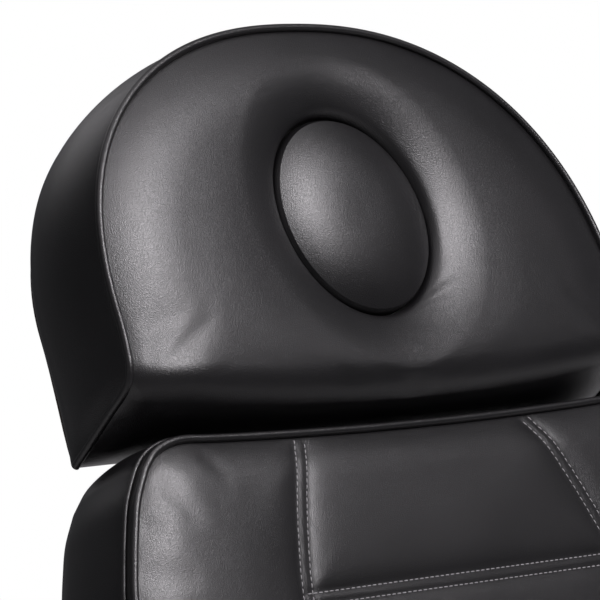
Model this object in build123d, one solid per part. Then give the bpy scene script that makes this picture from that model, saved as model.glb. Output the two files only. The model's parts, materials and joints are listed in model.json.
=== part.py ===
"""Hydraulic facial treatment bed: pump base, seat, reclining back, sliding headrest with a face plug, leg rest.

Millimetres, +Z up, +X across the bed, +Y towards the head. The origin is on the floor, on the lift column's axis.
The back section is modelled flat about its hinge and then raised, and the leg section is lowered the same way.
"""

import math
import os

from build123d import *

# Driving dimensions
HINGE_Y = 245.0  # distance of both section hinges from the column's axis
HINGE_Z = 590.0  # height of both section hinges with the pump down
BACK_RAISE = 64.0  # degrees above level at rest
LEG_DROP = 40.0  # degrees below level at rest
CUSHION_HALF = 50.0  # half the thickness of a cushion, and the radius of its rolled end
BOARD = 12.0  # plywood under each cushion
BOARD_INSET = 8.0  # how far a board stays inside its cushion's outline
TUBE = 30.0  # square frame tube
TUBE_WALL = 2.0
SEAT_HALF_WIDTH = 275.0
ROLL_GAP = 5.0  # between the seat cushion and a neighbour's rolled end
SEAT_HALF_LENGTH = HINGE_Y - CUSHION_HALF - ROLL_GAP
BACK_LENGTH = 600.0  # hinge to the top edge of the back cushion
LEG_LENGTH = 500.0
HEAD_START = 637.0  # hinge to the headrest's lower front edge, flat
HEAD_LENGTH = 284.0
HEAD_BACK = -43.0  # headrest cushion's rear face, about the back hinge's level
HEAD_FRONT = 58.0
PLUG_UP = 126.0  # plug's centre above the headrest's lower front edge
PLUG_X, PLUG_Y = 73.0, 81.0  # plug's half axes
PLUG_CLEARANCE = 1.5
ARM_INNER, ARM_OUTER = 280.0, 286.0  # section hinge arms
PLATE_INNER, PLATE_OUTER = 287.0, 293.0  # seat side plates
PIN_R = 8.0
RUNNING = 0.05  # radial clearance of a running fit
STRUT_X = 150.0  # the two gas struts stand this far either side of the middle
BACK_ANCHOR = (-150.0, 470.0)  # back strut's lower pivot, (y, z)
BACK_CRANK = (-40.0, -110.0)  # back strut's upper pivot about the back hinge, flat
LEG_ANCHOR = (20.0, 475.0)
LEG_CRANK = (-140.0, -100.0)
RAM_R = 25.0
RAM_TOP = 480.0
PLATE_TOP = 510.0  # underside of the seat frame
POST_X, POST_Z, POST_R = 110.0, -95.0, 8.0
HEAD_HINGE = (672.0, -68.0)  # headrest hinge, flat, about the back hinge
ARM_PIVOT = (140.0, 715.0)
PEDAL_PIVOT = (90.0, 116.0)  # (x, z)


# Small makers
def block(x0, x1, y0, y1, z0, z1):
    """A box from its limits."""
    size = Box(abs(x1 - x0), abs(y1 - y0), abs(z1 - z0))
    return Pos((x0 + x1) / 2, (y0 + y1) / 2, (z0 + z1) / 2) * size


def rod_x(r, x0, x1, y, z):
    return Pos((x0 + x1) / 2, y, z) * Rot(0, 90, 0) * Cylinder(r, abs(x1 - x0))


def rod_y(r, y0, y1, x, z):
    return Pos(x, (y0 + y1) / 2, z) * Rot(90, 0, 0) * Cylinder(r, abs(y1 - y0))


def rod_z(r, z0, z1, x=0.0, y=0.0):
    return Pos(x, y, (z0 + z1) / 2) * Cylinder(r, abs(z1 - z0))


def tube_x(x0, x1, y0, y1, z0, z1, wall=TUBE_WALL):
    """Rectangular tube along X, open at both ends."""
    return block(x0, x1, y0, y1, z0, z1) - block(x0, x1, y0 + wall, y1 - wall, z0 + wall, z1 - wall)


def tube_y(x0, x1, y0, y1, z0, z1, wall=TUBE_WALL):
    """Rectangular tube along Y, open at both ends."""
    return block(x0, x1, y0, y1, z0, z1) - block(x0 + wall, x1 - wall, y0, y1, z0 + wall, z1 - wall)


def side_plate(x0, x1, rounds, holes=()):
    """A flat plate across X: the hull of circles (y, z, r), with round holes (y, z, r)."""
    edges = []
    for y, z, r in rounds:
        edges += (Pos(y, z) * Circle(r)).edges()
    flat = make_hull(edges)
    for y, z, r in holes:
        flat -= Pos(y, z) * Circle(r)
    low, high = min(x0, x1), max(x0, x1)
    return Pos(low, 0, 0) * extrude(Plane.YZ * flat, amount=high - low)


def rounded_slab(x0, x1, y0, y1, z0, z1, corner, edge=0.0):
    """A slab with round corners in plan and, where asked, softened top edges."""
    plan = RectangleRounded(x1 - x0, y1 - y0, corner)
    slab = extrude(Pos((x0 + x1) / 2, (y0 + y1) / 2, z0) * plan, amount=z1 - z0)
    return fillet(slab.faces().sort_by(Axis.Z)[-1].edges(), edge) if edge else slab


def mirrored(shape):
    return mirror(shape, Plane.YZ)


def pair(shape):
    return [shape, mirrored(shape)]


def raise_back(shape):
    """From the back section's own flat frame to its rest place."""
    return Pos(0, HINGE_Y, HINGE_Z) * Rot(BACK_RAISE, 0, 0) * shape


def lower_leg(shape):
    """From the leg section's own flat frame to its rest place."""
    return Pos(0, -HINGE_Y, HINGE_Z) * Rot(LEG_DROP, 0, 0) * shape


def turned(point, angle):
    """A (y, z) point turned about +X by angle degrees."""
    a = math.radians(angle)
    return (point[0] * math.cos(a) - point[1] * math.sin(a), point[0] * math.sin(a) + point[1] * math.cos(a))


nodes = {}


def add(name, *shapes):
    """Keeps a node's separate solids."""
    flat = []
    for shape in shapes:
        for item in shape if isinstance(shape, (list, tuple)) else [shape]:
            flat += item.solids()
    nodes[name] = flat


# Base, which stands on the floor
FOOT_R, FOOT_H = 22.0, 6.0
BASE_X, BASE_Y, BASE_TOP = 310.0, 390.0, 16.0
BOLT_X, BOLT_Y, BOLT_R = (-90.0, 148.0), 70.0, 6.0
PUMP_BORE = 30.0


def base():
    feet = [rod_z(FOOT_R, 0, FOOT_H, x, y) for x in (-265, 265) for y in (-340, 0, 340)]
    feet.append(rod_z(FOOT_R, 0, FOOT_H))
    add("base_feet", feet)

    plate = rounded_slab(-BASE_X, BASE_X, -BASE_Y, BASE_Y, FOOT_H, BASE_TOP, 90, 3)
    for x in BOLT_X:
        for y in (-BOLT_Y, BOLT_Y):
            plate -= rod_z(BOLT_R + 0.5, 0, 30, x, y)
    add("base_plate", plate)

    rise, skin = 28.0, 2.5
    outer = extrude(Pos(0, 0, BASE_TOP) * RectangleRounded(600, 760, 82), amount=rise, taper=48)
    outer = fillet(outer.faces().sort_by(Axis.Z)[-1].edges(), 8)
    inner = extrude(Pos(0, 0, BASE_TOP) * RectangleRounded(593, 753, 79), amount=rise - skin, taper=48)
    cover = outer - inner - extrude(Pos(27, 0, BASE_TOP) * RectangleRounded(290, 184, 14), amount=60)
    add("base_cover", cover)

    flange = rounded_slab(-108, 166, -86, 86, BASE_TOP, BASE_TOP + 10, 16)
    casting = rounded_slab(-75, 134, -58, 58, BASE_TOP, 96, 18, 4)
    barrel = rod_z(62, 90, 255)
    body = flange + casting + barrel - rod_z(PUMP_BORE, 50, 260)
    body -= rod_z(6 + RUNNING, 60, 100, PEDAL_PIVOT[0] + 26)
    for y0, y1 in ((-18, -10), (10, 18)):
        ear = block(80, 100, y0, y1, 94, 118) + rod_y(10, y0, y1, *PEDAL_PIVOT)
        body += ear - rod_y(5, y0 - 1, y1 + 1, *PEDAL_PIVOT)
    for x in BOLT_X:
        for y in (-BOLT_Y, BOLT_Y):
            body -= rod_z(BOLT_R + 0.5, 10, 30, x, y)
    add("pump_body", body)

    head = extrude(RegularPolygon(11, 6), amount=8)
    bolts = []
    for x in BOLT_X:
        for y in (-BOLT_Y, BOLT_Y):
            bolts.append(Pos(x, y, BASE_TOP + 10) * head + rod_z(BOLT_R, 8, BASE_TOP + 11, x, y))
    add("pump_bolts", bolts)

    add("pump_shroud", rod_z(70, 96, 455) - rod_z(67, 90, 460))
    add("guide_bush", rod_z(PUMP_BORE, 225, 255) - rod_z(RAM_R + RUNNING, 220, 260))
    add("pedal_pin", rod_y(5, -22, 22, *PEDAL_PIVOT))


def pedal():
    x, z = PEDAL_PIVOT
    arm = make_hull((Pos(x, z) * Circle(10)).edges() + (Pos(345, 128) * Circle(7)).edges())
    arm = extrude(Plane.XZ * arm, amount=12)
    arm = Pos(0, 6, 0) * arm
    arm += rod_y(10, -9.5, 9.5, x, z)
    arm += rounded_slab(305, 385, -40, 40, 131, 135, 12)
    arm -= rod_y(5 + RUNNING, -15, 15, x, z)
    add("pedal_arm", arm)
    add("pedal_pad", rounded_slab(300, 390, -46, 46, 135, 148, 16, 4))
    add("pump_plunger", rod_z(6, 70, 98, x + 26) + rod_z(2.2, 97, 106.8, x + 26))


def lift():
    add("ram", rod_z(RAM_R, 60, RAM_TOP) + rod_z(18, RAM_TOP - 1, 503))
    skirt = rod_z(75, 285, RAM_TOP) - rod_z(72, 280, RAM_TOP - 4) - rod_z(RAM_R, RAM_TOP - 5, RAM_TOP + 1)
    add("ram_skirt", skirt)
    add("thrust_washer", rod_z(45, RAM_TOP, 486) - rod_z(18.5, RAM_TOP - 1, 487))


# Seat section, which turns on the ram
CROSS = (130.0, 180.0)  # the seat's end tubes, in y
BEARER = (45.0, 95.0)  # the tubes that the swivel plate is bolted to
SWIVEL_BOLTS = [(x, y) for x in (-90, 90) for y in (-70, 70)]


def seat():
    hub = rod_z(55, 486.2, 503) + rounded_slab(-115, 115, -105, 105, 502, PLATE_TOP, 14)
    hub -= rod_z(18 + RUNNING, 480, 504)
    for x, y in SWIVEL_BOLTS:
        hub -= rod_z(5.5, 500, 512, x, y)
    add("swivel_plate", hub)
    bolt = extrude(RegularPolygon(9, 6), amount=7)
    add("swivel_bolts", [Pos(x, y, 495) * bolt + rod_z(5, 501, PLATE_TOP, x, y) for x, y in SWIVEL_BOLTS])

    z0, z1 = PLATE_TOP, PLATE_TOP + TUBE
    ends = [tube_x(-PLATE_INNER, PLATE_INNER, a, b, z0, z1) for a, b in ((-180, -130), CROSS)]
    bearers = [tube_x(-205, 205, a, b, z0, z1) for a, b in ((-95, -45), BEARER)]
    add("seat_cross_tubes", ends, bearers)
    add("seat_rails", pair(tube_y(205, 235, -CROSS[0], CROSS[0], z0, z1)))

    rear = side_plate(
        PLATE_INNER,
        PLATE_OUTER,
        [(HINGE_Y, HINGE_Z, 28), (138, 518, 8), (138, 532, 8), (180, 514, 4)],
        [(HINGE_Y, HINGE_Z, PIN_R)],
    )
    front = mirror(rear, Plane.XZ)
    add("seat_side_plates", pair(rear), pair(front))
    pin = rod_x(PIN_R, 279, 297, HINGE_Y, HINGE_Z)
    pins = pair(pin) + pair(mirror(pin, Plane.XZ))
    add("hinge_pins", pins)
    cap = rod_x(24, PLATE_OUTER, 303, HINGE_Y, HINGE_Z)
    cap = fillet(cap.faces().sort_by(Axis.X)[-1].edges(), 4) - rod_x(PIN_R, 290, 297, HINGE_Y, HINGE_Z)
    add("hub_caps", pair(cap), pair(mirror(cap, Plane.XZ)))

    floor_z = HINGE_Z - CUSHION_HALF
    board = rounded_slab(-267, 267, -182, 182, floor_z, floor_z + BOARD, 20)
    cushion = rounded_slab(
        -SEAT_HALF_WIDTH, SEAT_HALF_WIDTH, -SEAT_HALF_LENGTH, SEAT_HALF_LENGTH, floor_z, HINGE_Z + CUSHION_HALF, 28
    )
    add("seat_board", board)
    add("seat_cushion", cushion - board)

    hangers, strut_pins = [], []
    for side, (y, z), top in ((1, BACK_ANCHOR, (-172, -136)), (-1, LEG_ANCHOR, (50, 88))):
        for x0, x1 in ((138, 143), (157, 162)):
            rounds = [(y, z, 15), (top[0], PLATE_TOP - 3, 3), (top[1], PLATE_TOP - 3, 3)]
            hangers.append(side_plate(side * x0, side * x1, rounds, [(y, z, 6)]))
        strut_pins.append(rod_x(6, side * 135, side * 165, y, z))
    add("strut_hangers", hangers)
    add("strut_pins", strut_pins)

    post = side_plate(
        PLATE_OUTER,
        PLATE_OUTER + 8,
        [(ARM_PIVOT[0], ARM_PIVOT[1], 17), (ARM_PIVOT[0], 520, 17)],
    )
    bolt = rod_x(PIN_R, 300.5, 314, *ARM_PIVOT) + rod_x(13, 310.3, 318, *ARM_PIVOT)
    add("arm_posts", pair(post + bolt))


def strut(name, side, anchor, end, body_length, rod_start):
    """A gas strut from its anchor to a crank, both (y, z): a cylinder on the anchor and a rod that slides in it."""
    body_r, rod_r = 13.0, 6.0
    length = math.dist(anchor, end)
    angle = math.degrees(math.atan2(end[1] - anchor[1], end[0] - anchor[0]))
    place = Pos(side * STRUT_X, anchor[0], anchor[1]) * Rot(angle, 0, 0)
    eye = rod_x(14, -5, 5, 0, 0)
    barrel = eye + rod_y(7, 11, 25, 0, 0) + rod_y(body_r, 24, body_length, 0, 0)
    barrel -= rod_x(6 + RUNNING, -6, 6, 0, 0)
    barrel -= rod_y(rod_r + RUNNING, 40, body_length + 1, 0, 0)
    add(f"{name}_cylinder", place * barrel)
    tip = rod_x(13, -5, 5, length, 0) - rod_x(6.5, -6, 6, length, 0)
    rod = rod_y(rod_r, rod_start, length - 11, 0, 0) + tip
    add(f"{name}_rod", place * rod)


def lever(name, side, y):
    """A release lever under one side of the seat, turning about Y."""
    x, z = side * 220, 490.0
    bar = rod_x(5, side * 174, side * 335, y, z) + rod_y(9, y - 6, y + 6, x, z)
    add(name, bar - rod_y(4 + RUNNING, y - 8, y + 8, x, z))
    cheeks = []
    for y0, y1 in ((y - 13, y - 7), (y + 7, y + 13)):
        cheek = block(x - 10, x + 10, y0, y1, z, PLATE_TOP) + rod_y(10, y0, y1, x, z)
        cheeks.append(cheek - rod_y(4, y0 - 1, y1 + 1, x, z))
    return cheeks + [rod_y(4, y - 14, y + 14, x, z)]


# Back section, flat about its hinge: y runs from the hinge to the head
BACK_SIDE = ((275, 0), (277, 110), (300, 270), (318, 415), (309, 487), (291, 537), (267, 581), (240, 599))
TOP_CORNER_X = 212.0
TOP_DIP = 5.0


def back_plan(inset=0.0):
    """Outline of the back section from its hinge up: waist, shoulders and rounded top corners."""
    top_y = BACK_LENGTH - inset
    points = [(x - inset, y * top_y / BACK_LENGTH) for x, y in BACK_SIDE] + [(TOP_CORNER_X, top_y)]
    side = Spline(*points, tangents=((0, 1), (-1, 0)))
    top = ThreePointArc((TOP_CORNER_X, top_y), (0, top_y - TOP_DIP), (-TOP_CORNER_X, top_y))
    foot = Line((inset - SEAT_HALF_WIDTH, 0), (SEAT_HALF_WIDTH - inset, 0))
    return make_face([side, top, mirror(side, Plane.YZ), foot])


def back():
    low = -CUSHION_HALF
    plan = back_plan()
    cushion = extrude(Pos(0, 0, low) * plan, amount=2 * CUSHION_HALF)
    cushion += rod_x(CUSHION_HALF, -SEAT_HALF_WIDTH, SEAT_HALF_WIDTH, 0, 0)
    board = extrude(Pos(0, 0, low) * back_plan(BOARD_INSET), amount=BOARD)
    board &= block(-400, 400, 24, 700, low - 1, 0)
    add("back_board", raise_back(board))
    add("back_cushion", raise_back(cushion - board))

    top, bottom = low, low - TUBE
    arm = side_plate(
        ARM_INNER,
        ARM_OUTER,
        [(0, 0, 26), (50, bottom + 5, 5), (70, bottom + 5, 5), (70, top, 5)],
        [(0, 0, PIN_R + RUNNING)],
    )
    add("back_hinge_arms", [raise_back(p) for p in pair(arm)])
    lower = tube_x(-ARM_INNER, ARM_INNER, 45, 75, bottom, top)
    middle = tube_x(-200, 200, 340, 370, bottom, top)
    upper = tube_x(-200, 200, 505, 535, bottom, top)
    add("back_cross_tubes", [raise_back(t) for t in (lower, middle, upper)])
    add("back_rails", [raise_back(r) for r in pair(tube_y(200, 230, 75, 545, bottom, top))])

    cheeks = []
    for x0, x1, head in ((138, 143, 134), (157, 162, 162)):
        y, z = BACK_CRANK
        cheeks.append(side_plate(x0, x1, [(y, z, 20), (48, bottom - 3, 3), (72, bottom - 3, 3)]))
        cheeks.append(rod_x(9, head, head + 4, y, z))
    add("back_crank", [raise_back(c) for c in cheeks])

    socket = block(POST_X - 15, POST_X + 15, 350, 565, bottom - 30, bottom)
    socket -= rod_y(POST_R + RUNNING, 340, 570, POST_X, POST_Z)
    socket -= rod_z(4.3, -112, POST_Z, POST_X, 545)
    add("post_sockets", [raise_back(s) for s in pair(socket)])
    knob = rod_z(4, -116, POST_Z - POST_R - 0.3, POST_X, 545) + rod_z(18, -133, -115, POST_X, 545)
    for i in range(6):
        a = math.radians(60 * i)
        knob -= rod_z(6, -140, -115, POST_X + 21 * math.cos(a), 545 + 21 * math.sin(a))
    add("right_post_knob", raise_back(knob))
    add("left_post_knob", raise_back(mirrored(knob)))


def head_plan(inset=0.0):
    """Outline of the headrest: a half ellipse over short, slightly spreading sides."""
    start, wide = HEAD_START + inset, 257.0 - inset
    shoulder = HEAD_START + 80
    arc = EllipticalCenterArc(
        (0, shoulder), wide, HEAD_START + HEAD_LENGTH - inset - shoulder, start_angle=0, arc_size=180
    )
    foot_x, foot_y = 262.0 - inset, start - 25
    right = Spline((foot_x, foot_y), (foot_x - 1, start), (wide, shoulder), tangents=((0, 1), (0, 1)))
    return make_face([arc, right, mirror(right, Plane.YZ), Line((-foot_x, foot_y), (foot_x, foot_y))])


def headrest():
    post = rod_y(POST_R, 370, 655, POST_X, POST_Z)
    add("headrest_posts", [raise_back(p) for p in pair(post)])
    y, z = HEAD_HINGE
    yoke = block(-132, 132, 650, 670, POST_Z - 13, POST_Z + 13)
    for side in (-1, 1):
        yoke -= rod_y(POST_R, 640, 655, side * POST_X, POST_Z)
        yoke += side_plate(side * 85, side * 93, [(y, z, 12), (657, -85, 6), (663, -85, 6)], [(y, z, 5)])
    add("headrest_yoke", raise_back(yoke))
    pin = rod_x(5, 83, 103, y, z)
    add("headrest_hinge_pins", [raise_back(p) for p in pair(pin)])

    brackets = []
    for side in (-1, 1):
        ear = side_plate(side * 95, side * 101, [(y, z, 12), (662, -46, 3), (720, -46, 3)], [(y, z, 5 + RUNNING)])
        foot = block(side * 95, side * 150, 659, 723, HEAD_BACK - 4, HEAD_BACK)
        brackets.append(ear + foot)
    add("headrest_brackets", [raise_back(b) for b in brackets])

    start = HEAD_START
    cushion = extrude(Pos(0, 0, HEAD_BACK) * head_plan(), amount=HEAD_FRONT - HEAD_BACK)
    # the lower face slopes from its rear edge up to the front edge
    wedge = Polyline((start - 25, HEAD_BACK), (start, HEAD_FRONT), (start - 25, HEAD_FRONT), close=True)
    cushion -= Pos(-300, 0, 0) * extrude(Plane.YZ * make_face(wedge), amount=600)
    hole = Pos(0, start + PLUG_UP, HEAD_BACK - 1) * Ellipse(PLUG_X + PLUG_CLEARANCE, PLUG_Y + PLUG_CLEARANCE)
    cushion -= extrude(hole, amount=120)
    board = extrude(Pos(0, 0, HEAD_BACK) * head_plan(BOARD_INSET), amount=BOARD)
    ring = Pos(0, start + PLUG_UP, HEAD_BACK - 1) * Ellipse(PLUG_X + 10, PLUG_Y + 10)
    board -= extrude(ring, amount=30)
    add("headrest_board", raise_back(board))
    add("headrest_cushion", raise_back(cushion - board))

    plug_low, plug_high = -6.0, 50.0
    plug = extrude(Pos(0, start + PLUG_UP, plug_low) * Ellipse(PLUG_X, PLUG_Y), amount=plug_high - plug_low)
    plug = fillet(plug.faces().sort_by(Axis.Z)[-1].edges(), 22)
    seat_board = extrude(Pos(0, start + PLUG_UP, plug_low - 8) * Ellipse(PLUG_X - 6, PLUG_Y - 6), amount=8)
    add("plug_board", raise_back(seat_board))
    add("face_plug", raise_back(plug))


# Leg section, flat about its hinge: it runs towards -Y
def rounded_end(half, end, start, z0, z1, corner):
    """A slab from y = start to y = end with round corners at the end only."""
    slab = block(-half, half, end, start, z0, z1)
    return fillet(slab.edges().filter_by(Axis.Z).group_by(Axis.Y)[0], corner)


def leg():
    low = -CUSHION_HALF
    end = -LEG_LENGTH
    cushion = rounded_end(SEAT_HALF_WIDTH, end, 0, low, CUSHION_HALF, 70)
    cushion += rod_x(CUSHION_HALF, -SEAT_HALF_WIDTH, SEAT_HALF_WIDTH, 0, 0)
    board = rounded_end(SEAT_HALF_WIDTH - BOARD_INSET, end + BOARD_INSET, -24, low, low + BOARD, 62)
    add("leg_board", lower_leg(board))
    add("leg_cushion", lower_leg(cushion - board))

    top, bottom = low, low - TUBE
    arm = side_plate(
        ARM_INNER,
        ARM_OUTER,
        [(0, 0, 26), (-50, bottom + 5, 5), (-70, bottom + 5, 5), (-70, top, 5)],
        [(0, 0, PIN_R + RUNNING)],
    )
    add("leg_hinge_arms", [lower_leg(p) for p in pair(arm)])
    first = tube_x(-ARM_INNER, ARM_INNER, -75, -45, bottom, top)
    rest = [tube_x(-200, 200, y - TUBE, y, bottom, top) for y in (-125, -400)]
    add("leg_cross_tubes", [lower_leg(t) for t in [first] + rest])
    add("leg_rails", [lower_leg(r) for r in pair(tube_y(200, 230, -440, -75, bottom, top))])
    cheeks = []
    for x0, x1, head in ((-143, -138, -138), (-162, -157, -166)):
        y, z = LEG_CRANK
        cheeks.append(side_plate(x0, x1, [(y, z, 18), (-152, bottom - 2, 2), (-128, bottom - 2, 2)]))
        cheeks.append(rod_x(9, head, head + 4, y, z))
    add("leg_crank", [lower_leg(c) for c in cheeks])


def armrest(name, side):
    y, z = ARM_PIVOT
    bar = side_plate(
        side * 302, side * 310, [(y, z, 18), (-235, 722, 11), (-235, 724, 11)], [(y, z, PIN_R + RUNNING)]
    )
    shelf = block(side * 302, side * 358, -240, 150, 734, 738)
    add(f"{name}_arm_bar", bar + shelf)
    low, high = sorted((side * 285, side * 375))
    add(f"{name}_arm_pad", rounded_slab(low, high, -270, 170, 738, 796, 40, 14))


base()
pedal()
lift()
seat()
back_end = turned(BACK_CRANK, BACK_RAISE)
strut("back_strut", 1, BACK_ANCHOR, (HINGE_Y + back_end[0], HINGE_Z + back_end[1]), 290, 170)
leg_end = turned(LEG_CRANK, LEG_DROP)
strut("leg_strut", -1, LEG_ANCHOR, (-HINGE_Y + leg_end[0], HINGE_Z + leg_end[1]), 225, 95)
right_cheeks = lever("back_release_lever", 1, -112.0)
left_cheeks = lever("leg_release_lever", -1, 0.0)
add("lever_brackets", right_cheeks, left_cheeks)
back()
headrest()
leg()
armrest("left", -1)
armrest("right", 1)

os.makedirs("parts", exist_ok=True)
for old in os.listdir("parts"):
    os.remove(os.path.join("parts", old))
for name, solids in nodes.items():
    shape = solids[0] if len(solids) == 1 else Compound(solids)
    export_step(shape, f"parts/{name}.step")
print(len(nodes), "nodes")
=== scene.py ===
import json
import math

import bmesh
import bpy
import numpy as np
from mathutils import Matrix, Vector
from mathutils.bvhtree import BVHTree


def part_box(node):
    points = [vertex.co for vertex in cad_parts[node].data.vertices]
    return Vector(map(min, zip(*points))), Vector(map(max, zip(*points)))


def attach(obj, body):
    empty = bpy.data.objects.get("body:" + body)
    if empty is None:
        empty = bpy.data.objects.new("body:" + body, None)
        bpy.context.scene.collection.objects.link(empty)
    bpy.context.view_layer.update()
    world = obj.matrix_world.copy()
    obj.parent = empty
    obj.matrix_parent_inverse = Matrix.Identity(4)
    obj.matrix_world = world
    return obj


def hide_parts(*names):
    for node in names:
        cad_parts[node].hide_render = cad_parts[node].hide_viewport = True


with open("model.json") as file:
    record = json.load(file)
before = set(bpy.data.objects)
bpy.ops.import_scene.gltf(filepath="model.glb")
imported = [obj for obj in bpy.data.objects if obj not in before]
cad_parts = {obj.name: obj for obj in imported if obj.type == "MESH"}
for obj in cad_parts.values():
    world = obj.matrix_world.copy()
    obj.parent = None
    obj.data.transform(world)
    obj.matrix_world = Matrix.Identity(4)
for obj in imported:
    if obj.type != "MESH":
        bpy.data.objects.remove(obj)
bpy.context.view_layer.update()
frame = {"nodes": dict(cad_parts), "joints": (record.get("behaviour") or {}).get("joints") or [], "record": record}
scene = bpy.context.scene
nodes = frame["nodes"]
joints = {joint["name"]: joint for joint in frame["joints"]}
mm = 0.001
mirror = np.array([-1, 1])  # flips an outline from the right side to the left
print("stage: frame loaded,", len(nodes), "CAD nodes")


# each section has its own flat frame: x across, y along the section, z out of its face
def sectionFrame(pivot, along):
    y = Vector(along).normalized()
    x = Vector((1, 0, 0))
    turn = Matrix((x, y, x.cross(y))).transposed().to_4x4()
    return Matrix.Translation(Vector(pivot)) @ turn


legDrop = math.radians(40)  # the leg section below level at rest
hingePlace = Vector(joints["back_recline"]["pos_m"])
backFrame = sectionFrame(hingePlace, joints["headrest_extend"]["axis"])
legFrame = sectionFrame(joints["leg_tilt"]["pos_m"], (0, math.cos(legDrop), math.sin(legDrop)))
seatFrame = sectionFrame((0, 0, hingePlace.z), (0, 1, 0))


# a long lens on the headrest and the top of the back
cameraSetup = {
    "azimuth": -41.8,
    "elevation": 4.3,
    "distance": 2.816,
    "lens": 224.3,
    "aim": (0, 0.600, 0.050),  # top edge of the back, in the back's own frame
    "left": 0.0846,
    "up": 0.0878,
}


def makeCamera(setup):
    a, e = math.radians(setup["azimuth"]), math.radians(setup["elevation"])
    back = Vector((math.sin(a) * math.cos(e), -math.cos(a) * math.cos(e), math.sin(e)))
    right = Vector((math.cos(a), math.sin(a), 0))
    up = back.cross(right)
    spot = backFrame @ Vector(setup["aim"])
    spot += back * setup["distance"] - right * setup["left"] + up * setup["up"]
    data = bpy.data.cameras.new("camera")
    data.lens = setup["lens"]
    data.clip_end = 60
    cam = bpy.data.objects.new("camera", data)
    cam.matrix_world = Matrix.Translation(spot) @ Matrix((right, up, back)).transposed().to_4x4()
    scene.collection.objects.link(cam)
    scene.camera = cam


makeCamera(cameraSetup)
print("stage: camera")


# a socket that can be added to and multiplied
class Field:
    def __init__(self, paint, socket):
        self.paint, self.socket = paint, socket

    def maths(self, operation, other):
        return self.paint.node("ShaderNodeMath", {"operation": operation}, {0: self, 1: other})

    def __add__(self, other):
        return self.maths("ADD", other)

    def __mul__(self, other):
        return self.maths("MULTIPLY", other)

    __radd__, __rmul__ = __add__, __mul__


class Paint:
    def __init__(self, name, **fixed):
        self.material = bpy.data.materials.new(name)
        self.material.use_nodes = True
        self.tree = self.material.node_tree
        self.shader = self.tree.nodes["Principled BSDF"]
        for socket, value in fixed.items():
            self.shader.inputs[socket.replace("_", " ")].default_value = value
        self.place = self.node("ShaderNodeTexCoord", {}, {}, "Object")

    def node(self, kind, settings, inputs, output=0):
        made = self.tree.nodes.new(kind)
        for key, value in settings.items():
            if key == "stops":
                ramp = made.color_ramp.elements
                while len(ramp) < len(value):
                    ramp.new(0.5)
                for element, (at, colour) in zip(ramp, value):
                    element.position = at
                    element.color = colour
            else:
                setattr(made, key, value)
        for key, value in inputs.items():
            if isinstance(value, Field):
                self.tree.links.new(value.socket, made.inputs[key])
            else:
                made.inputs[key].default_value = value
        return Field(self, made.outputs[output])

    def noise(self, scale, detail=3.0, roughness=0.5, place=None):
        inputs = {"Vector": place or self.place, "Scale": scale, "Detail": detail, "Roughness": roughness}
        return self.node("ShaderNodeTexNoise", {}, inputs)

    def cells(self, scale):
        inputs = {"Vector": self.place, "Scale": scale}
        return self.node("ShaderNodeTexVoronoi", {"feature": "SMOOTH_F1"}, inputs)

    def stretched(self, size):
        return self.node("ShaderNodeMapping", {}, {"Vector": self.place, "Scale": size})

    def between(self, mask, low, high):
        return self.node("ShaderNodeMapRange", {}, {"Value": mask, "To Min": low, "To Max": high})

    def stepped(self, value, low, high):
        return self.node("ShaderNodeMapRange", {}, {"Value": value, "From Min": low, "From Max": high})

    def mixed(self, mask, a, b):
        return self.node("ShaderNodeMix", {"data_type": "RGBA"}, {0: mask, 6: a, 7: b}, 2)

    def set(self, socket, value):
        self.tree.links.new(value.socket, self.shader.inputs[socket])

    def bump(self, height, distance):
        inputs = {"Height": height, "Distance": distance, "Strength": 1.0}
        self.set("Normal", self.node("ShaderNodeBump", {}, inputs))


def rgb(r, g, b):
    return (r, g, b, 1.0)


leatherLook = {
    "deep": rgb(0.0042, 0.0040, 0.0045),
    "worn": rgb(0.0085, 0.0080, 0.0088),
    "grain": 1700,  # pebbles to the metre
    "fine": 2600,
    "grainDepth": 0.00013,
    "dull": 0.37,
    "slick": 0.26,
}


def leatherPaint(look):
    paint = Paint("blackLeather", Specular_IOR_Level=0.5, IOR=1.5)
    broad = paint.noise(9, 4, 0.55)
    fine = paint.noise(look["fine"], 2, 0.6)
    pebble = paint.cells(look["grain"])
    pores = paint.stepped(pebble, 0.15, 0.75)
    patches = paint.stepped(broad + fine * 0.25, 0.45, 0.8)
    paint.set("Base Color", paint.mixed(patches, look["deep"], look["worn"]))
    paint.set("Roughness", paint.between(broad * 0.5 + fine * 0.5, look["slick"], look["dull"]))
    soft = paint.noise(260, 3, 0.6)
    paint.bump(pores * 0.75 + fine * 0.4 + soft * 0.06, look["grainDepth"])
    return paint.material


def paintedMetal(name, colour, rough, flecks=1400, depth=0.00006):
    paint = Paint(name, Metallic=0.0, Specular_IOR_Level=0.5)
    broad = paint.noise(14, 4)
    dust = tuple(min(1, c * 1.6 + 0.01) for c in colour[:3]) + (1.0,)
    paint.set("Base Color", paint.mixed(paint.stepped(broad, 0.4, 0.75), colour, dust))
    paint.set("Roughness", paint.between(paint.noise(40, 5), rough - 0.06, rough + 0.1))
    paint.bump(paint.noise(flecks, 2), depth)
    return paint.material


def bareMetal(name, colour, rough, brushed=None, depth=0.00002):
    paint = Paint(name, Metallic=1.0)
    place = paint.stretched(brushed) if brushed else paint.place
    streaks = paint.noise(1, 4, 0.6, place) if brushed else paint.noise(350, 4)
    smudge = paint.noise(11, 5, 0.6)
    dim = tuple(c * 0.82 for c in colour[:3]) + (1.0,)
    paint.set("Base Color", paint.mixed(smudge, colour, dim))
    paint.set("Roughness", paint.between(smudge * 0.5 + streaks * 0.5, rough * 0.7, rough * 1.5))
    paint.bump(streaks, depth)
    return paint.material


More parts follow.
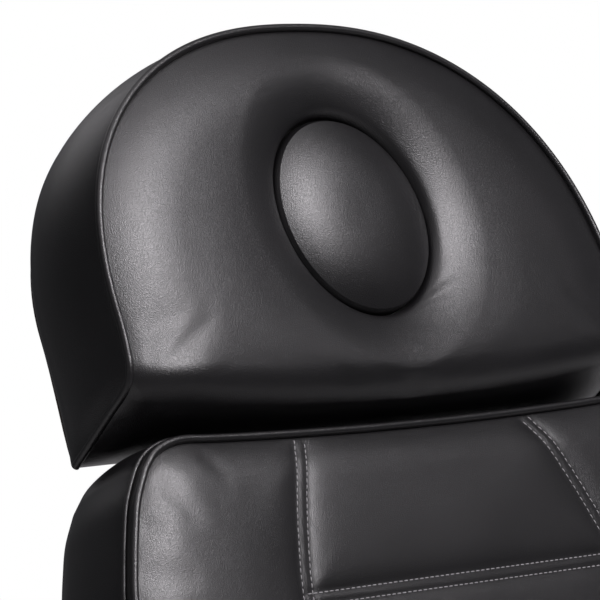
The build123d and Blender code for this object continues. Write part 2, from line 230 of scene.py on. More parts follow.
def dullStuff(name, colour, rough, scale=700, depth=0.00012):
    paint = Paint(name, Specular_IOR_Level=0.4)
    lighter = tuple(c * 1.5 + 0.006 for c in colour[:3]) + (1.0,)
    paint.set("Base Color", paint.mixed(paint.stepped(paint.noise(25, 5), 0.35, 0.7), colour, lighter))
    paint.set("Roughness", paint.between(paint.noise(120, 3), rough - 0.08, rough + 0.08))
    paint.bump(paint.noise(scale, 3), depth)
    return paint.material


def boardPaint():
    paint = Paint("stainedBoard", Specular_IOR_Level=0.35)
    grain = paint.noise(1, 5, 0.65, paint.stretched((140, 9, 9)))
    rings = paint.stepped(grain, 0.3, 0.7)
    paint.set("Base Color", paint.mixed(rings, rgb(0.020, 0.017, 0.015), rgb(0.055, 0.045, 0.037)))
    paint.set("Roughness", paint.between(grain, 0.55, 0.8))
    paint.bump(grain, 0.0003)
    return paint.material


def threadPaint():
    paint = Paint("thread", Specular_IOR_Level=0.5)
    twist = paint.noise(3000, 2)
    paint.set("Base Color", paint.mixed(twist, rgb(0.16, 0.157, 0.16), rgb(0.42, 0.41, 0.42)))
    paint.set("Roughness", paint.between(twist, 0.4, 0.6))
    paint.bump(twist, 0.0001)
    return paint.material


leather = leatherPaint(leatherLook)
blackCoat = paintedMetal("blackPowderCoat", rgb(0.012, 0.012, 0.0135), 0.42)
greyCoat = paintedMetal("greyEnamel", rgb(0.10, 0.104, 0.112), 0.34)
chrome = bareMetal("chrome", rgb(0.78, 0.79, 0.81), 0.09)
brushedSteel = bareMetal("brushedSteel", rgb(0.60, 0.61, 0.63), 0.30, (30, 1200, 1200), 0.00003)
plainSteel = bareMetal("zincSteel", rgb(0.55, 0.56, 0.58), 0.34)
bronze = bareMetal("bronze", rgb(0.55, 0.38, 0.18), 0.35)
blackPlastic = dullStuff("blackPlastic", rgb(0.014, 0.014, 0.015), 0.5)
rubber = dullStuff("rubber", rgb(0.012, 0.012, 0.012), 0.75, 500, 0.0002)
board = boardPaint()
thread = threadPaint()

finishes = {
    "upholstery": leather,
    "board": board,
    "frame_black": blackCoat,
    "base_metal": brushedSteel,
    "chrome": chrome,
    "shroud": blackPlastic,
    "pump_paint": greyCoat,
    "steel": plainSteel,
    "rubber": rubber,
    "knob": blackPlastic,
    "bronze": bronze,
}
slotOf = {part["node"]: part["material_slot"] for part in frame["record"]["subparts"]}


def dress(piece, material):
    piece.data.materials.clear()
    piece.data.materials.append(material)


for name, node in nodes.items():
    dress(node, finishes[slotOf[name]])
print("stage: materials")


def smoothPath(points, steps=24):  # a smooth curve through every point
    p = np.array(points, float)
    q = np.vstack([2 * p[0] - p[1], p, 2 * p[-1] - p[-2]])
    t = np.linspace(0, 1, steps, endpoint=False)[:, None]
    runs = []
    for a, b, c, d in zip(q, q[1:], q[2:], q[3:]):
        slope = (c - a) * t
        bend = (2 * a - 5 * b + 4 * c - d) * t**2
        twist = (3 * b - a - 3 * c + d) * t**3
        runs.append(0.5 * (2 * b + slope + bend + twist))
    return np.vstack(runs + [p[-1:]])


def resampled(path, shares):  # points at the given shares of a path's length
    step = np.linalg.norm(np.diff(path, axis=0), axis=1)
    at = np.concatenate([[0], np.cumsum(step)]) / step.sum()
    return np.stack([np.interp(shares, at, path[:, k]) for k in range(path.shape[1])], 1)


def lengthOf(path):
    return np.linalg.norm(np.diff(path, axis=0), axis=1).sum()


def softened(points, spots, reach, rounds):  # rounds a path off near the given spots
    points = np.array(points)
    near = np.min([np.linalg.norm(points - spot, axis=1) for spot in spots], axis=0)
    share = 0.5 * (1 - eased(near, reach * 0.4, reach))[1:-1, None]
    for step in range(rounds):
        points[1:-1] += share * ((points[:-2] + points[2:]) / 2 - points[1:-1])
    return points


def crowded(count, crowd):  # shares from 0 to 1, closer together at both ends
    s = np.linspace(0, 1, count + 1)
    return (1 - crowd) * s + crowd * (1 - np.cos(np.pi * s)) / 2


def distances(points, path):  # from each point to a path, in the plane
    best = np.full(len(points), 1e9)
    for a, b in zip(path, path[1:]):
        d = b - a
        t = np.clip(((points - a) @ d) / max(d @ d, 1e-12), 0, 1)
        best = np.minimum(best, np.linalg.norm(points - a - t[:, None] * d, axis=1))
    return best


def eased(value, low, high):  # 0 up to low, 1 from high, smooth between
    t = np.clip((value - low) / (high - low), 0, 1)
    return t * t * (3 - 2 * t)


def ladder(loop):  # closes a ring of vertices with rungs straight across
    last = len(loop) - 1
    return [(loop[k], loop[k + 1], loop[last - k - 1], loop[last - k]) for k in range(len(loop) // 2 - 1)]


def newObject(name, points, faces, place=None):
    mesh = bpy.data.meshes.new(name)
    mesh.from_pydata([tuple(map(float, p)) for p in points], [], faces)
    shape = bmesh.new()
    shape.from_mesh(mesh)
    bmesh.ops.remove_doubles(shape, verts=shape.verts, dist=0.00002)
    bmesh.ops.dissolve_degenerate(shape, dist=0.00001, edges=shape.edges)
    bmesh.ops.recalc_face_normals(shape, faces=shape.faces)
    shape.to_mesh(mesh)
    shape.free()
    piece = bpy.data.objects.new(name, mesh)
    scene.collection.objects.link(piece)
    if place:
        mesh.transform(place)
    return piece


def only(piece):
    bpy.ops.object.select_all(action="DESELECT")
    piece.select_set(True)
    bpy.context.view_layer.objects.active = piece


def applied(piece, kind, **settings):
    only(piece)
    modifier = piece.modifiers.new("step", kind)
    for key, value in settings.items():
        setattr(modifier, key, value)
    bpy.ops.object.modifier_apply(modifier=modifier.name)


def coordinates(piece):
    flat = np.empty(len(piece.data.vertices) * 3)
    piece.data.vertices.foreach_get("co", flat)
    return flat.reshape(-1, 3)


def moved(piece, points):
    piece.data.vertices.foreach_set("co", points.astype(np.float32).ravel())
    piece.data.update()


def smoothShaded(piece):
    piece.data.polygons.foreach_set("use_smooth", [True] * len(piece.data.polygons))


def tube(name, path, radius, place, closed=False):
    line = bpy.data.curves.new(name, "CURVE")
    line.dimensions = "3D"
    line.bevel_depth = radius
    line.bevel_resolution = 4
    line.use_fill_caps = not closed
    spline = line.splines.new("POLY")
    spline.points.add(len(path) - 1)
    for point, spot in zip(spline.points, path):
        point.co = (*map(float, spot), 1)
    spline.use_cyclic_u = closed
    piece = bpy.data.objects.new(name, line)
    scene.collection.objects.link(piece)
    only(piece)
    bpy.ops.object.convert(target="MESH")
    piece.data.transform(place)
    smoothShaded(piece)
    return piece


def joined(name, group):
    bpy.ops.object.select_all(action="DESELECT")
    for piece in group:
        piece.select_set(True)
    bpy.context.view_layer.objects.active = group[0]
    bpy.ops.object.join()
    group[0].name = name
    return group[0]


clothFill = {
    "share": 0.55,  # how much of the settled shape is kept, so the panels stay tight
    "frames": 14,
    "settings": {
        "quality": 5,
        "mass": 0.4,
        "tension_stiffness": 30,
        "compression_stiffness": 30,
        "shear_stiffness": 12,
        "bending_stiffness": 6,
        "use_pressure": True,
    },
}


def settle(piece, pinned, cap, pressure=4.0):  # cloth under pressure, held where pinned
    start = coordinates(piece)
    group = piece.vertex_groups.new(name="held")
    group.add([int(i) for i in np.nonzero(pinned)[0]], 1.0, "REPLACE")
    only(piece)
    cloth = piece.modifiers.new("fill", "CLOTH")
    for key, value in clothFill["settings"].items():
        setattr(cloth.settings, key, value)
    cloth.settings.uniform_pressure_force = pressure
    cloth.settings.vertex_group_mass = "held"
    cloth.settings.effector_weights.gravity = 0
    cloth.collision_settings.use_self_collision = False
    cloth.collision_settings.use_collision = False
    cloth.point_cache.frame_start, cloth.point_cache.frame_end = 1, clothFill["frames"]
    for at in range(1, clothFill["frames"] + 1):
        scene.frame_set(at)
    bpy.ops.object.modifier_apply(modifier=cloth.name)
    scene.frame_set(1)
    shift = coordinates(piece) - start
    length = np.linalg.norm(shift, axis=1)
    print("   ", piece.name, "swelled by up to", round(float(length.max()) * 1000, 1), "mm")
    shift *= clothFill["share"] * np.minimum(1, cap / np.maximum(length, 1e-9))[:, None]
    moved(piece, start + shift)


def patchGrid(bottom, right, top, left):  # bottom and top run left to right, left and right upwards
    s = np.linspace(0, 1, len(bottom))[None, :, None]
    t = np.linspace(0, 1, len(left))[:, None, None]
    across = (1 - t) * bottom[None] + t * top[None]
    upwards = (1 - s) * left[:, None] + s * right[:, None]
    corners = (1 - s) * (1 - t) * bottom[0] + s * (1 - t) * bottom[-1]
    corners = corners + (1 - s) * t * top[0] + s * t * top[-1]
    return across + upwards - corners


def crowned(d, crown, reach):  # a filled edge: steep at the welt, level from reach inwards
    return crown * (1 - (1 - np.clip(d / reach, 0, 1)) ** 2)


def seamDrop(points, seams, look):  # a sewn channel: two rows of stitches with a low ridge between them
    drop = np.zeros(len(points))
    for path in seams:
        d = distances(points, path)
        over = np.maximum(d - look["seamHalf"], 0)
        inside = np.clip(1 - (d / look["seamHalf"]) ** 2, 0, 1)
        groove = look["seamDepth"] * np.exp(-over / look["seamReach"])
        drop = np.maximum(drop, groove - look["seamRidge"] * inside)
    return drop


cushionLook = {
    "seamHalf": 4.4 * mm,
    "seamDepth": 2.4 * mm,
    "seamReach": 8.0 * mm,
    "seamRidge": 1.0 * mm,
    "lip": 2.4 * mm,  # how far the panel starts below the middle of its welt
    "welt": 3.1 * mm,
    "bead": 1.8 * mm,  # the second seam beside the welt, on the back only
    "beadDrop": 8 * mm,
    "hemDrop": 0.8 * mm,  # how far the hem stands off the board
    "hemTurn": 2 * mm,  # the hem's cut edge goes in and up, out of sight
    "hemRise": 5 * mm,
    "swell": 7 * mm,
    "rollReach": 47.5 * mm,  # the rolled ends stop short of the seat cushion
    "rollSpread": 7,  # columns that a corner fans out into
}


class Cushion:
    def __init__(self, name, body, place, node, shape):
        self.name, self.body, self.place, self.node, self.shape = name, body, place, node, shape

    def build(self):
        shape, look = self.shape, cushionLook
        across, upward = shape["across"], shape["upward"]
        sx, sy = crowded(across, 0.5), crowded(upward, 0.5)
        rightColumn = resampled(smoothPath(shape["right"]), sy)
        leftColumn = rightColumn * mirror
        topRow = self.fullRow(shape["top"], sx)
        if "bottom" in shape:
            bottomRow = self.fullRow(shape["bottom"], sx)
        else:
            bottomRow = resampled(np.array([leftColumn[0], rightColumn[0]]), sx)
        grid = patchGrid(bottomRow, rightColumn, topRow, leftColumn)
        self.rolled = shape.get("rolled", False)
        loop = [(0, i) for i in range(across)]
        loop += [(j, across) for j in range(upward)]
        loop += [(upward, i) for i in range(across, 0, -1)]
        loop += [(j, 0) for j in range(upward, 0, -1)]
        edge = np.array([grid[j, i] for j, i in loop])
        self.outline = edge
        self.piped = np.vstack([edge[across:], edge[:1]]) if self.rolled else np.vstack([edge, edge[:1]])
        front = grid.reshape(-1, 2)
        height = self.heights(front)
        points = np.column_stack([front, height])
        faces = []
        wide = across + 1
        for j in range(upward):
            for i in range(across):
                a = j * wide + i
                faces.append((a, a + 1, a + wide + 1, a + wide))
        tangent = np.roll(edge, -1, 0) - np.roll(edge, 1, 0)
        outward = np.column_stack([tangent[:, 1], -tangent[:, 0]])
        outward /= np.linalg.norm(outward, axis=1)[:, None]
        columns = []  # (index of the edge vertex, outward, how much it rolls)
        for k, (j, i) in enumerate(loop):
            index = j * wide + i
            if self.rolled and k == 0:
                columns += [(index, (-1, 0), w) for w in np.linspace(0, 1, look["rollSpread"])]
            elif self.rolled and k == across:
                columns += [(index, (1, 0), w) for w in np.linspace(1, 0, look["rollSpread"])]
            elif self.rolled and k < across:
                columns.append((index, (0, -1), 1.0))
            else:
                columns.append((index, tuple(outward[k]), 0.0))
        rows = self.wall(points, columns)
        first = len(points)
        count = len(columns)
        points = np.vstack([points, rows.reshape(-1, 3)])
        depth = rows.shape[0]
        for k in range(count):
            n = (k + 1) % count
            a, b = columns[k][0], columns[n][0]
            c, d = first + n, first + k
            faces.append((a, b, c, d) if a != b else (a, c, d))
            for r in range(depth - 1):
                top0 = first + r * count
                faces.append((top0 + k, top0 + n, top0 + count + n, top0 + count + k))
        faces += ladder([first + (depth - 1) * count + k for k in range(count)])
        self.columns, self.rows = columns, rows
        self.piece = newObject(self.name, points, faces)
        smoothShaded(self.piece)

    def fullRow(self, points, shares):  # an end edge is given from the right corner to the middle
        half = resampled(smoothPath(points), np.linspace(0, 1, 200))
        return resampled(np.vstack([half * mirror, half[::-1][1:]]), shares)

    def heights(self, points):
        crown = crowned(distances(points, self.piped), self.shape["crown"], self.shape["reach"])
        return self.shape["front"] - cushionLook["lip"] + crown

    def wall(self, points, columns):
        shape, look = self.shape, cushionLook
        start = np.array([points[index] for index, outward, roll in columns])
        outward = np.array([out for index, out, roll in columns], float)
        roll = np.array([w for index, out, w in columns])[:, None]
        back, corner, bulge = shape["back"], shape["rearRound"], shape["bulge"]
        steps = shape.get("wallSteps", 12)
        rows = []
        down = np.array([0, -1.0])
        middle, half = (start[:, 2:] + back) / 2, (start[:, 2:] - back) / 2
        for t in np.linspace(0, 1, steps + 1)[1:]:
            fullness = bulge * np.sin(np.pi * t) ** 0.6
            plain = start[:, :2] + outward * fullness * (1, shape.get("endBulge", 1))
            plainZ = start[:, 2:] + (back + corner - start[:, 2:]) * t
            round_ = start[:, :2] + down * np.minimum(half, look["rollReach"]) * math.sin(math.pi * t)
            roundZ = middle + half * math.cos(math.pi * t)
            xy = (1 - roll) * plain + roll * round_
            z = (1 - roll) * plainZ + roll * roundZ
            rows.append(np.hstack([xy, z]))
        inward = -outward * (1 - roll) + roll * np.array([0, 1.0])
        both = (roll[:, 0] > 0.01) & (np.abs(outward[:, 0]) > 0.5)  # the ends of a rolled edge
        inward[both] = np.column_stack([-np.sign(outward[both, 0]), np.ones(both.sum())]) * 0.8
        for angle in (30, 60, 90):
            a = math.radians(angle)
            xy = start[:, :2] + inward * (corner * (1 - math.cos(a)))
            z = (1 - roll) * (back + corner - corner * math.sin(a)) + roll * back
            rows.append(np.hstack([xy, z]))
        hem = shape["hem"] + roll * shape.get("rollHem", 0)
        flat = back - look["hemDrop"]
        turned = (hem + look["hemTurn"], back + look["hemRise"])
        for inset, z in ((hem * 0.5 + corner * 0.5, flat), (hem, flat), turned):
            xy = start[:, :2] + inward * inset
            rows.append(np.hstack([xy, np.full((len(start), 1), z)]))
        return np.array(rows)

    def held(self):  # the welts, the seams and everything on the board keep their places
        points = coordinates(self.piece)
        flat = points[:, :2]
        shape = self.shape
        near = distances(flat, np.vstack([self.outline, self.outline[:1]])) < 1.5 * mm
        rear = points[:, 2] < shape["back"] + shape["rearRound"] + 2 * mm
        front = (points[:, 2] > shape["front"] - 6 * mm) & near
        seams = np.zeros(len(points), bool)
        for path in shape.get("seams", []):
            seams |= (distances(flat, path) < cushionLook["seamHalf"] + 3 * mm) & (points[:, 2] > 0)
        if self.rolled:
            rear |= flat[:, 1] < 6 * mm
        else:
            rear |= np.abs(flat[:, 1]) > np.abs(flat[:, 1]).max() - 4 * mm
        return rear | front | seams

    def finish(self):
        piece = self.piece
        settle(piece, self.held(), cushionLook["swell"])
        applied(piece, "SUBSURF", levels=1, render_levels=1)
        points = coordinates(piece)
        top = points[:, 2] > self.shape["front"] - 8 * mm
        if self.shape.get("seams"):
            fade = eased(distances(points[top][:, :2], self.piped), 0, 16 * mm)
            points[top, 2] -= seamDrop(points[top][:, :2], self.shape["seams"], cushionLook) * fade
        moved(piece, points)
        piece.data.transform(self.place)
        dress(piece, leather)
        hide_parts(self.node)
        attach(piece, self.body)
        self.addWelt()

    def addWelt(self):
        look, shape = cushionLook, self.shape
        if self.rolled:
            leftEnd = [k for k, c in enumerate(self.columns) if c[2] == 1.0][0]
            rightEnd = [k for k, c in enumerate(self.columns) if c[2] == 1.0 and c[1] != (0, -1)][-1]
            steps = shape.get("wallSteps", 12)
            capLeft = self.rows[:steps, leftEnd]
            capRight = self.rows[:steps, rightEnd]
            main = np.column_stack([self.piped, np.full(len(self.piped), shape["front"])])
            path = np.vstack([capRight[::-1], main, capLeft])
        else:
            path = np.column_stack([self.outline, np.full(len(self.outline), shape["front"])])
        group = [tube(self.name + "_welt", path, look["welt"], self.place, not self.rolled)]
        if "bead" in shape:
            run = smoothPath(shape["bead"], 8)
            line = np.vstack([(run * mirror)[::-1], run[1:]])
            flat = np.column_stack([line, np.full(len(line), shape["front"] - look["beadDrop"])])
            group.append(tube(self.name + "_bead", flat, look["bead"], self.place))
        welt = joined(self.name + "_welt", group)
        dress(welt, leather)
        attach(welt, self.body)


stitchLook = {
    "pitch": 5.2 * mm,
    "length": 3.9 * mm,
    "radius": 0.42 * mm,
    "sides": 6,
    # along the stitch, thickness, height: both ends dip into the leather
    "rings": ((-0.5, 0.35, -0.35), (-0.3, 1, 0.25), (0, 1.1, 0.4), (0.3, 1, 0.25), (0.5, 0.35, -0.35)),
}


def stitchRows(name, cushion):  # two rows along each seam, every stitch lying on the finished cushion
    length, radius, ring = stitchLook["length"], stitchLook["radius"], stitchLook["sides"]
    surface = surfaceOf(cushion.piece, cushion.place)
    body = cushion.body
    points, faces = [], []
    for path in cushion.shape["seams"]:
        count = int(lengthOf(path) / stitchLook["pitch"])
        for offset in (-cushionLook["seamHalf"], cushionLook["seamHalf"]):
            middle = resampled(path, (np.arange(count) + 0.5) / count)
            ahead = resampled(path, (np.arange(count) + 0.52) / count) - middle
            ahead /= np.linalg.norm(ahead, axis=1)[:, None]
            across = np.column_stack([-ahead[:, 1], ahead[:, 0]])
            centre = middle + across * offset
            height = surface(centre)
            slopeA = surface(centre + ahead * length / 2)
            slopeB = surface(centre - ahead * length / 2)
            for k in range(count):
                if math.isnan(height[k]):
                    continue
                base = len(points)
                for share, fat, sink in stitchLook["rings"]:
                    z = slopeB[k] + (slopeA[k] - slopeB[k]) * (share + 0.5)
                    spot = centre[k] + ahead[k] * length * share
                    for m in range(ring):
                        a = 2 * math.pi * m / ring
                        side = across[k] * math.cos(a) * radius * fat
                        points.append((*(spot + side), z + radius * (sink + math.sin(a) * fat)))
                last = len(stitchLook["rings"]) - 1
                for r in range(last):
                    for m in range(ring):
                        n = (m + 1) % ring
                        q = base + r * ring
                        faces.append((q + m, q + n, q + ring + n, q + ring + m))
                faces.append(tuple(base + m for m in range(ring)))
                faces.append(tuple(base + last * ring + m for m in range(ring)))
    piece = newObject(name, points, faces, cushion.place)
    smoothShaded(piece)
    dress(piece, thread)
    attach(piece, body)


def surfaceOf(piece, place):  # heights on a finished cushion, found by dropping a line on it
    shape = bmesh.new()
    shape.from_mesh(piece.data)
    shape.transform(place.inverted())
    tree = BVHTree.FromBMesh(shape)
    shape.free()

    def heights(points):
        found = [tree.ray_cast((float(x), float(y), 0.2), (0, 0, -1))[0] for x, y in points]
        return np.array([math.nan if spot is None else spot.z for spot in found])

    return heights


def spots(*points):  # given in mm
    return np.array(points, float) * mm


def straight(*points):
    return resampled(spots(*points), np.linspace(0, 1, 60))


def curved(*points):
    return smoothPath(spots(*points), 12)


# back cushion: a waist, wide shoulders, and a rolled end round the hinge
backSeamSide = curved(
    (117, 590), (130, 563), (146, 520), (160, 470), (170, 400), (168, 300), (152, 180), (142, 80), (139, 16)
)
backShape = {
    "right": spots(
        (275, 0), (276, 60), (279, 130), (289, 210), (302, 290), (314, 360), (318, 415),
        (315, 455), (309, 487), (300, 514), (291, 537), (281, 559), (266, 581)
    ),
    "top": spots(
        (266, 581), (254, 592), (240, 598), (224, 600.5), (205, 599.5),
        (170, 598), (120, 596.5), (60, 595.3), (0, 595)
    ),
    "bead": spots(
        (0, 598.2), (60, 598.5), (120, 599.8), (170, 601.2), (205, 602.7), (224, 603.7), (241, 601.2),
        (256, 594.6), (268.5, 583), (284, 560.5), (294, 538.5), (303, 515), (312.2, 488), (318.2, 455),
        (321.2, 415), (317.2, 360), (305.2, 290), (292.2, 210), (282.2, 130), (279.2, 60), (278.5, 15)
    ),
    "across": 116,
    "upward": 112,
    "front": 48 * mm,
    "back": -50 * mm,
    "crown": 11.5 * mm,
    "reach": 38 * mm,
    "bulge": 7 * mm,
    "rearRound": 9 * mm,
    "hem": 18 * mm,
    "rollHem": 16 * mm,
    "rolled": True,
    "seams": [
        backSeamSide,
        backSeamSide * mirror,
        straight((-160, 469), (160, 469)),
        straight((-158, 235), (158, 235)),
    ],
}
backCushion = Cushion("back_upholstery", "back", backFrame, "back_cushion", backShape)
backCushion.build()
backCushion.finish()
stitchRows("back_stitches", backCushion)
print("stage: back cushion")

seatShape = {
    "right": spots(
        (265, -184), (272, -176), (275, -165), (276, -80), (277, 0),
        (276, 80), (275, 165), (272, 176), (265, 184)
    ),
    "top": spots((265, 184), (258, 188), (250, 190), (160, 190), (0, 190)),
    "bottom": spots((265, -184), (258, -188), (250, -190), (160, -190), (0, -190)),
    "across": 110,
    "upward": 76,
    "front": 46 * mm,
    "back": -50 * mm,
    "crown": 13 * mm,
    "reach": 48 * mm,
    "bulge": 4 * mm,
    "endBulge": 0.1,
    "rearRound": 9 * mm,
    "hem": 17 * mm,
    "seams": [straight((138, -189), (138, 189)), straight((-138, -189), (-138, 189))],
}
seatCushion = Cushion("seat_upholstery", "seat", seatFrame, "seat_cushion", seatShape)
seatCushion.build()
seatCushion.finish()
stitchRows("seat_stitches", seatCushion)
print("stage: seat cushion")

# the leg cushion is laid out like the back's, then turned end for end
legTurn = Matrix.Rotation(math.pi, 4, "Z")
legShape = {
    "right": spots((275, 0), (275, 150), (275, 300), (274, 400), (270, 440), (255, 480)),
    "top": spots((255, 480), (235, 494), (205, 500), (150, 500), (0, 500)),
    "across": 104,
    "upward": 92,
    "front": 48 * mm,
    "back": -50 * mm,
    "crown": 12 * mm,
    "reach": 46 * mm,
    "bulge": 4 * mm,
    "rearRound": 9 * mm,
    "hem": 18 * mm,
    "rollHem": 16 * mm,
    "rolled": True,
    "seams": [
        straight((138, 16), (138, 499)),
        straight((-138, 16), (-138, 499)),
        straight((-137, 250), (137, 250)),
    ],
}
legCushion = Cushion("leg_upholstery", "leg", legFrame @ legTurn, "leg_cushion", legShape)
legCushion.build()
legCushion.finish()
stitchRows("leg_stitches", legCushion)
print("stage: leg cushion")

armShape = {
    "right": spots((33, -205), (42, -190), (45, -172), (45, 0), (45, 172), (42, 190), (33, 205)),
    "top": spots((33, 205), (20, 215), (0, 220)),
    "bottom": spots((33, -205), (20, -215), (0, -220)),
    "across": 30,
    "upward": 90,
    "front": 17 * mm,
    "back": -29 * mm,
    "crown": 11 * mm,
    "reach": 30 * mm,
    "bulge": 3 * mm,
    "rearRound": 5 * mm,
    "hem": 12 * mm,
    "wallSteps": 8,
}
for hand in ("left", "right"):
    low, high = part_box(hand + "_arm_pad")
    place = Matrix.Translation((low + high) / 2)
    armPad = Cushion(hand + "_arm_upholstery", hand + "_armrest", place, hand + "_arm_pad", armShape)
    armPad.build()
    armPad.finish()
print("stage: arm pads")


# headrest: a D-shaped cushion with a dish round the hole for the face plug
headShape = {
    "start": 637 * mm,
    "wide": 257 * mm,
    "foot": 263 * mm,
    "shoulder": 691 * mm,
    "top": 921 * mm,
    "power": 2.28,
    "plugAt": 763 * mm,
    "holeX": 74 * mm,
    "holeY": 82 * mm,
    "front": 58 * mm,
    "back": -43 * mm,
    "bow": 24 * mm,  # the filling pushes the lower edge out in the middle
    "lean": 25 * mm,  # how much lower the rear of the lower face is
    "rollRadius": 28 * mm,
    "rollShare": 0.91,  # how far round the roll goes before the lower face takes over
    "crown": 17 * mm,
    "reach": 64 * mm,
    "dishX": 47 * mm,
    "dishDepth": 13.5 * mm,
    "creaseDepth": 6 * mm,
    "creaseReach": 2.5 * mm,
    "bulge": 6 * mm,
    "pinch": 26 * mm,  # how far from its lower corners the side is drawn in
    "leanReach": 110 * mm,
    "rearRound": 14 * mm,
    "hem": (20 * mm, 30 * mm, 32 * mm),
    "holeHem": (20 * mm, 19 * mm, 8 * mm, 2 * mm),
    "cornerReach": 15 * mm,
    "weltCornerReach": 18 * mm,
    "swell": 5 * mm,
    "columns": 264,
    "rings": 60,
    "wallSteps": 14,
}


def headOutline(shape):
    t = np.linspace(0, math.pi / 2, 160)
    p = 2 / shape["power"]
    arcX = shape["wide"] * np.cos(t) ** p
    arcY = shape["shoulder"] + (shape["top"] - shape["shoulder"]) * np.sin(t) ** p
    s = np.linspace(0, 1, 24, endpoint=False)
    sideX = shape["wide"] + (shape["foot"] - shape["wide"]) * (1 - s) ** 1.6
    sideY = shape["start"] + (shape["shoulder"] - shape["start"]) * s
    return np.column_stack([np.r_[sideX, arcX], np.r_[sideY, arcY]])


def headHeights(points, shape, piped):
    crown = crowned(distances(points, piped), shape["crown"], shape["reach"])
    n = shape["front"] - cushionLook["lip"] + crown
    within = np.clip(1 - (points[:, 0] / shape["foot"]) ** 2, 0, 1)
    up = points[:, 1] - shape["start"] + shape["bow"] * within**0.6
    radius = shape["rollRadius"]
    rest = np.clip(radius * shape["rollShare"] - up, 0, radius * shape["rollShare"])
    n -= radius - np.sqrt(np.maximum(radius**2 - rest**2, 0))
    ex = points[:, 0] / shape["holeX"]
    ey = (points[:, 1] - shape["plugAt"]) / shape["holeY"]
    away = np.maximum(np.hypot(ex, ey) - 1, 0) * (shape["holeX"] + shape["holeY"]) / 2
    t = np.clip(1 - away / shape["dishX"], 0, 1)
    n -= shape["dishDepth"] * t**1.7 + shape["creaseDepth"] * np.exp(-away / shape["creaseReach"])
    return n


def buildHeadrest(shape):
    count = shape["columns"]
    bottomCount = count // 4
    sideCount = (count - bottomCount) // 2
    rightSide = resampled(headOutline(shape), np.linspace(0, 1, sideCount + 1))
    bottomX = shape["foot"] * (2 * crowded(bottomCount, 0.3) - 1)
    bowed = shape["bow"] * (1 - (bottomX / shape["foot"]) ** 2) ** 0.6
    bottom = np.column_stack([bottomX, shape["start"] - bowed])
    edge = np.vstack([bottom[:-1], rightSide[:-1], (rightSide * mirror)[::-1][:-1]])
    piped = np.vstack([edge[bottomCount:], edge[:1]])
    centre = np.array([0, shape["plugAt"]])
    angle = np.arctan2(edge[:, 1] - centre[1], edge[:, 0])
    reach = 1 / np.hypot(np.cos(angle) / shape["holeX"], np.sin(angle) / shape["holeY"])
    fromHole = np.column_stack([np.cos(angle), np.sin(angle)])
    hole = centre + fromHole * reach[:, None]
    share = crowded(shape["rings"], 0.55)
    layers = []
    for s in share:  # from the hole outwards
        ring = hole + (edge - hole) * s
        layers.append(np.column_stack([ring, headHeights(ring, shape, piped)]))
    start = layers[-1]
    wallStart = len(layers) - 1
    tangent = np.roll(edge, -1, 0) - np.roll(edge, 1, 0)
    outward = np.column_stack([tangent[:, 1], -tangent[:, 0]])
    outward /= np.linalg.norm(outward, axis=1)[:, None]
    isBottom = np.arange(count) < bottomCount
    outward[isBottom] = (0, -1)
    outward[0] = outward[bottomCount] = (0, 0)
    fromCorner = np.minimum(np.abs(edge[:, 0] - shape["foot"]), np.abs(edge[:, 0] + shape["foot"]))
    alongSide = np.where(isBottom, fromCorner, edge[:, 1] - shape["start"])
    pinch = eased(alongSide, 0, shape["pinch"])[:, None]
    back, corner = shape["back"], shape["rearRound"]
    lean = shape["lean"] * (1 - eased(edge[:, 1] - shape["start"], 0, shape["leanReach"]))[:, None]
    lean[isBottom, 0] = edge[isBottom, 1] - shape["start"] + shape["lean"]
    for t in np.linspace(0, 1, shape["wallSteps"] + 1)[1:]:
        z = start[:, 2:] + (back + corner - start[:, 2:]) * t
        fullness = np.where(isBottom, math.sin(math.pi * t), math.sin(math.pi * t) ** 0.8)[:, None]
        xy = start[:, :2] + outward * shape["bulge"] * pinch * fullness
        xy[:, 1:] -= lean * t
        layers.append(np.hstack([xy, z]))
    sideRows = np.array(layers[wallStart:])
    inward = centre - edge
    inward /= np.linalg.norm(inward, axis=1)[:, None]
    base = start[:, :2] + np.hstack([np.zeros((count, 1)), -lean])
    for degrees in (25, 50, 75, 90):
        a = math.radians(degrees)
        xy = base + inward * corner * (1 - math.cos(a))
        layers.append(np.hstack([xy, np.full((count, 1), back + corner - corner * math.sin(a))]))
    flat, tucked = back - cushionLook["hemDrop"], back + 6 * mm
    for inset, z in zip(shape["hem"], (flat, flat, tucked)):
        layers.append(np.hstack([base + inward * inset, np.full((count, 1), z)]))
    for grow, z in zip(shape["holeHem"], (tucked, flat, flat, back + 4 * mm)):
        layers.append(np.column_stack([hole + fromHole * grow, np.full(count, z)]))
    holeEdge = layers[0][:, 2] - 3 * mm
    for t in np.linspace(0, 1, 8)[1:-1]:
        layers.append(np.column_stack([hole, tucked + (holeEdge - back - 6 * mm) * t]))
    points = np.vstack(layers)
    faces = []
    total = len(layers)
    for r in range(total):
        s = (r + 1) % total
        for k in range(count):
            n = (k + 1) % count
            faces.append((r * count + k, r * count + n, s * count + n, s * count + k))
    piece = newObject("headrest_upholstery", points, faces)
    smoothShaded(piece)
    cornerPaths = [sideRows[:, bottomCount], sideRows[:, 0]]
    weltPath = np.column_stack([piped, headHeights(piped, shape, piped) + cushionLook["lip"]])
    return piece, piped, weltPath, cornerPaths


head, headPiped, weltPath, cornerPaths = buildHeadrest(headShape)
points = coordinates(head)
nearEdge = distances(points[:, :2], headPiped) < 2 * mm
ex = points[:, 0] / headShape["holeX"]
ey = (points[:, 1] - headShape["plugAt"]) / headShape["holeY"]
rear = points[:, 2] < headShape["back"] + 18 * mm
settle(head, nearEdge | (np.hypot(ex, ey) < 1.02) | rear, headShape["swell"], 3.0)
applied(head, "SUBSURF", levels=1, render_levels=1)


